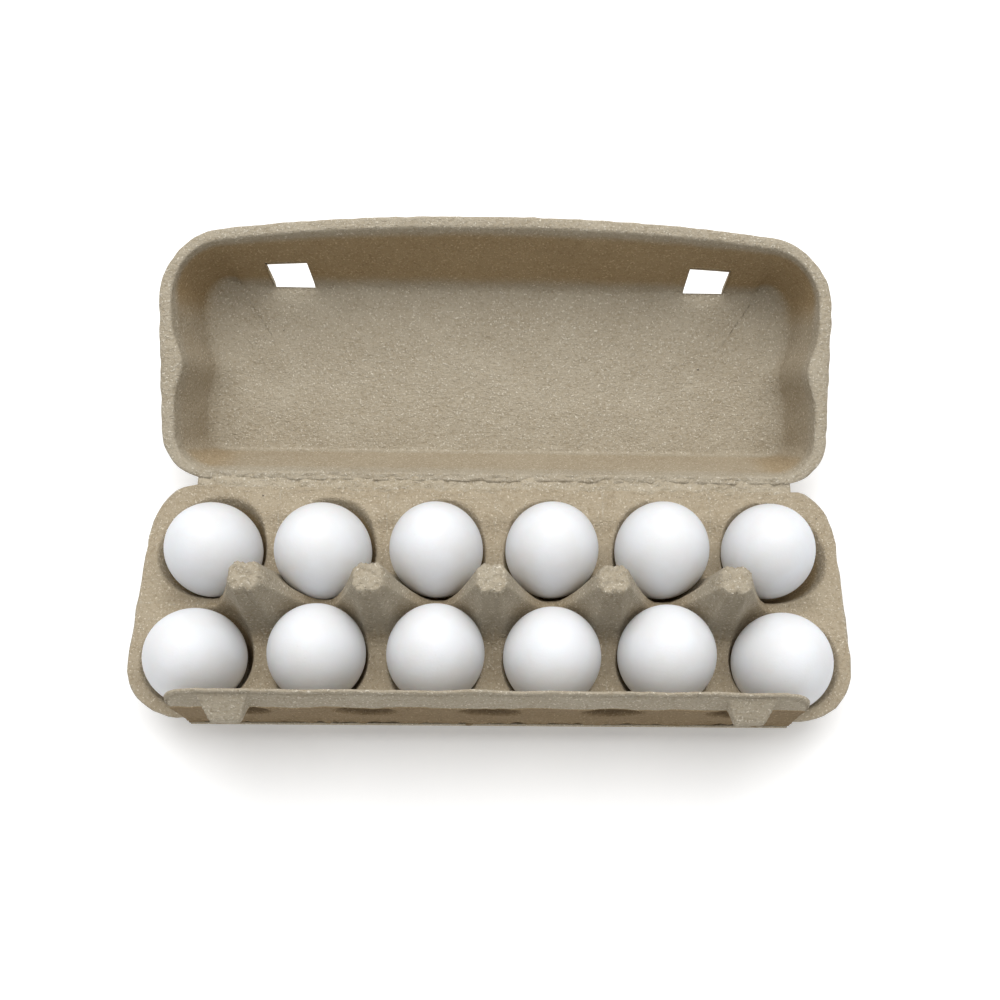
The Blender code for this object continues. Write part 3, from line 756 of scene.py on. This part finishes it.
class Finish:
    """A material under construction: node() adds any node, mix() blends two colours by a value."""

    def __init__(self, name):
        self.material = bpy.data.materials.new(name)
        self.material.use_nodes = True
        self.tree = self.material.node_tree
        self.tree.nodes.clear()
        self.place = self.node("ShaderNodeTexCoord", {}, {}, "Object")

    def node(self, kind, settings, values, output=0):
        made = self.tree.nodes.new(kind)
        for name, value in settings.items():
            setattr(made, name, value)
        for key, value in (values.items() if isinstance(values, dict) else enumerate(values)):
            if isinstance(value, Val):
                self.tree.links.new(value.socket, made.inputs[key])
            else:
                made.inputs[key].default_value = value
        return Val(self, made.outputs[output])

    def mix(self, amount, first, second, blend="MIX"):
        made = self.tree.nodes.new("ShaderNodeMix")
        made.data_type, made.blend_type = "RGBA", blend
        for key, value in ((0, amount), (6, first), (7, second)):
            if isinstance(value, Val):
                self.tree.links.new(value.socket, made.inputs[key])
            else:
                made.inputs[key].default_value = value if key == 0 else (*value, 1.0)
        return Val(self, made.outputs[2])

    def noise(self, size_mm, detail=3.0, rough=0.55, stretch=None, distort=0.0):
        """Noise with features about size_mm across, on the object's own coordinates."""
        place = self.place
        if stretch is not None:
            place = self.node("ShaderNodeVectorMath", {"operation": "MULTIPLY"}, [place, stretch])
        return self.node("ShaderNodeTexNoise", {},
                         {"Vector": place, "Scale": 1000.0 / size_mm, "Detail": detail,
                          "Roughness": rough, "Distortion": distort})

    def cells(self, size_mm):
        """Distance to the nearest of random points about size_mm apart."""
        return self.node("ShaderNodeTexVoronoi", {"feature": "F1"},
                         {"Vector": self.place, "Scale": 1000.0 / size_mm}, "Distance")

    def finish(self, colour, rough, height, bump_mm, strength, **extra):
        bump = self.node("ShaderNodeBump", {},
                         {"Height": height, "Distance": bump_mm * MM, "Strength": strength})
        shader = self.node("ShaderNodeBsdfPrincipled", {},
                           {"Base Color": colour, "Roughness": rough, "Normal": bump, **extra})
        out = self.tree.nodes.new("ShaderNodeOutputMaterial")
        self.tree.links.new(shader.socket, out.inputs["Surface"])
        return self.material


# %% [markdown]
# ## Moulded pulp and eggshell
#
# Pulp is waste paper beaten in water, so its colour is a grey beige with pale fibres, a few dark
# specks of ink and soft darker patches where it dried last. Where water ran through the mesh of
# the mould the face is finely pitted. Eggshell is nearly white and matt, with tiny pores and a
# very soft mottle.

# %% Materials
def pulp_finish(name, tint, crumple):
    f = Finish(name)
    cloud = f.noise(38.0, 4.0, 0.6)
    patch = f.noise(11.0, 5.0, 0.65, distort=0.6)
    grain = f.noise(1.6, 4.0, 0.7)
    fibre = f.noise(2.3, 2.0, 0.5, stretch=(1.0, 3.2, 2.1), distort=1.4)
    fleck = f.noise(0.9, 2.0, 0.5).band(0.57, 0.69)
    ink = f.cells(13.0)
    speck = (1.0 - ink.band(0.025, 0.055)) * f.noise(9.0, 1.0).band(0.50, 0.56)
    big_ink = f.cells(46.0)
    big_speck = 1.0 - big_ink.band(0.008, 0.017)
    base = f.mix(cloud.band(0.32, 0.68), tint[0], tint[1])
    base = f.mix(patch.band(0.35, 0.75) * 0.5, base, tint[2])
    base = f.mix(grain.band(0.38, 0.62) * 0.45, base, tint[3])
    base = f.mix((1.0 - grain.band(0.30, 0.48)) * 0.40, base, (0.27, 0.215, 0.14))
    base = f.mix(fleck * 0.85, base, (0.76, 0.70, 0.58))
    base = f.mix(fibre.band(0.62, 0.72) * 0.22, base, (0.24, 0.19, 0.125))
    base = f.mix(speck * 0.75, base, (0.055, 0.042, 0.032))
    base = f.mix(big_speck * 0.85, base, (0.03, 0.024, 0.02))
    # Painted shade: the per-point value multiplies the colour by a warm brown up to 1 and by a darker grey
    # past 1, standing in for shadow in hollows, under the sheet and on walls turned from the light.
    painted_shade = f.node("ShaderNodeAttribute", {"attribute_name": "painted_shade"}, {}, "Fac")
    base = f.mix(painted_shade.band(0.0, 1.0) * 0.85, base, (0.84, 0.68, 0.46), "MULTIPLY")
    base = f.mix(painted_shade.band(1.0, 2.3) * 0.9, base, (0.40, 0.38, 0.36), "MULTIPLY")
    height = grain * 0.9 + fibre * 0.35 + patch * crumple + fleck * 0.15
    rough = 0.86 + grain * 0.12
    return f.finish(base, rough, height, 1.5, 0.9, **{"Specular IOR Level": 0.22})


def egg_finish(name):
    f = Finish(name)
    mottle = f.noise(14.0, 3.0, 0.5)
    pore = f.noise(0.9, 2.0, 0.5)
    spot = (1.0 - f.cells(3.2).band(0.05, 0.16)) * f.noise(6.0, 1.0).band(0.50, 0.60)
    base = f.mix(mottle.band(0.35, 0.65), (0.765, 0.78, 0.805), (0.74, 0.745, 0.755))
    base = f.mix(spot * 0.22, base, (0.70, 0.69, 0.66))
    rough = 0.46 + pore * 0.16
    height = pore * 0.7 + spot * 0.5
    return f.finish(base, rough, height, 0.35, 0.18,
                    **{"Specular IOR Level": 0.36, "Subsurface Weight": 0.06, "Subsurface Scale": 0.004})


PULP_TINT = [(0.415, 0.355, 0.262), (0.455, 0.397, 0.300), (0.375, 0.312, 0.218), (0.495, 0.440, 0.345)]
CREASE_TINT = [(0.43, 0.365, 0.262), (0.475, 0.41, 0.305), (0.39, 0.32, 0.215), (0.54, 0.475, 0.37)]
PULP = pulp_finish("moulded_pulp", PULP_TINT, 0.9)
PULP_CREASE = pulp_finish("crumpled_pulp", CREASE_TINT, 1.5)
EGGSHELL = egg_finish("fine_eggshell")
print("materials:", [material.name for material in (PULP, PULP_CREASE, EGGSHELL)])

# %% [markdown]
# ## Putting it together
#
# Each fine piece takes the place of the plain one in the fixed frame. The tray, the lid, the
# flap and the eggs ride on the same bodies as their plain parts, so they open, fold and lift just
# as the simulated parts do; the creases stay where they are laid.

# %% The tray
tray = tray_shell(PULP)
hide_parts("base_tray")
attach(tray, "tray")

# %% The lid
lid = lid_shell(PULP)
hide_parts("lid")
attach(lid, "lid")

# %% The flap
flap = flap_shell(PULP)
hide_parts("lock_flap")
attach(flap, "flap")

# %% The creases
WEB_HALF_X = float(box_mm("lid_hinge_web")[1][0])
BAND_HALF_X = float(box_mm("front_hinge_band")[1][0])
tray_back = (float(TRAY_HIGH[1]) - 0.4, float(RIM_Z) - 0.15 - WALL / 2.0)
lid_back = lid_place(0.0, BACK_EDGE + 0.4, WALL / 2.0 + 0.15)[1:]
hinge = crease_strip("hinge_crease", tray_back, lid_back, WEB_HALF_X, PULP_CREASE, 41, fold=0.32, lap=0.35)
print("tray edge", np.round(tray_back, 2), "lid edge", np.round(lid_back, 2))
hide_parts("lid_hinge_web")
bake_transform(hinge)

band_low, band_high = box_mm("front_hinge_band")
band_z = float(band_low[2] + band_high[2]) / 2.0
front = crease_strip("front_crease", (float(TRAY_LOW[1]) + 0.2, band_z), (BAND_Y - 0.9, band_z), BAND_HALF_X,
                     PULP_CREASE, 51, fold=0.08, rows=7)
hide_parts("front_hinge_band")
(BAND_Y - 0.9) * MM
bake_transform(front)
fold = crease_strip("flap_crease", (BAND_Y - 0.6, band_z), (FLAP_Y - 0.6, band_z + 0.8), BAND_HALF_X,
                    PULP_CREASE, 61, fold=0.08, rows=7)
(BAND_Y - 0.6) * MM
(FLAP_Y - 0.6) * MM
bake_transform(fold)

# %% The eggs
draw = np.random.default_rng(12)
for name, middle, girth, lean in zip(EGG_NAMES, EGG_MIDDLES, EGG_GIRTH, EGG_LEAN):
    egg = make_egg(f"shell_{name}", middle, girth, lean, draw, EGGSHELL)
    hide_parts(name)
    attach(egg, name)

# %% [markdown]
# ## Floor, light and camera
#
# A white floor and a broad soft light from above and behind show the relief without hard
# shadows. The camera looks down steeply from the front.

# %% Floor
scene = bpy.context.scene
floor_mesh = bpy.data.meshes.new("floor")
FLOOR_HALF = 3.0
corners = [(x * FLOOR_HALF, y * FLOOR_HALF, 0) for x, y in ((-1, -1), (1, -1), (1, 1), (-1, 1))]
floor_mesh.from_pydata(corners, [], [(0, 1, 2, 3)])
floor_finish = Finish("floor")
floor_tone = floor_finish.mix(floor_finish.noise(60.0).band(0.3, 0.7), (0.93, 0.93, 0.93), (0.95, 0.95, 0.95))
floor_mesh.materials.append(floor_finish.finish(floor_tone, 0.9, floor_finish.noise(3.0), 0.1, 0.1,
                                                   **{"Emission Color": (1.0, 1.0, 1.0, 1.0),
                                                      "Emission Strength": 0.18}))
floor = bpy.data.objects.new("floor", floor_mesh)
scene.collection.objects.link(floor)

# %% Light
world = bpy.data.worlds.new("room")
scene.world = world
world.use_nodes = True
WORLD_STRENGTH = 0.40
world.node_tree.nodes["Background"].inputs["Color"].default_value = (1.0, 1.0, 1.0, 1.0)
world.node_tree.nodes["Background"].inputs["Strength"].default_value = WORLD_STRENGTH


def soft_light(name, place, size, watts):
    """A rectangular area lamp that points at the middle of the floor."""
    lamp = bpy.data.lights.new(name, "AREA")
    lamp.shape, lamp.size, lamp.size_y = "RECTANGLE", size[0], size[1]
    lamp.energy = watts
    stand = bpy.data.objects.new(name, lamp)
    stand.location = place
    stand.rotation_euler = (-Vector(place)).to_track_quat("-Z", "Y").to_euler()
    scene.collection.objects.link(stand)


soft_light("overhead", (0.0, 0.22, 0.95), (1.1, 0.8), 11.5)
soft_light("front_fill", (0.1, -0.9, 0.5), (0.8, 0.5), 0.15)

# %% Camera
CAMERA_PLACE = (0.00999, -0.16778, 0.42119)
LOOK_DOWN, LOOK_YAW, LOOK_ROLL = math.radians(66.83), math.radians(2.82), math.radians(-3.27)
forward = Vector((math.sin(LOOK_YAW) * math.cos(LOOK_DOWN),
                  math.cos(LOOK_YAW) * math.cos(LOOK_DOWN), -math.sin(LOOK_DOWN)))
level = Vector((math.cos(LOOK_YAW), -math.sin(LOOK_YAW), 0.0))
down = forward.cross(level)
right = math.cos(LOOK_ROLL) * level + math.sin(LOOK_ROLL) * down
drop = -math.sin(LOOK_ROLL) * level + math.cos(LOOK_ROLL) * down
camera_data = bpy.data.cameras.new("camera")
camera = bpy.data.objects.new("camera", camera_data)
scene.collection.objects.link(camera)
camera.matrix_world = Matrix.Translation(CAMERA_PLACE) @ Matrix([right, -drop, -forward]).transposed().to_4x4()
camera_data.lens, camera_data.sensor_width = 33.81, 36.0
camera_data.shift_x, camera_data.shift_y = -0.036, -0.0056
camera_data.clip_start = 0.01
scene.camera = camera
scene.view_settings.view_transform = "Standard"
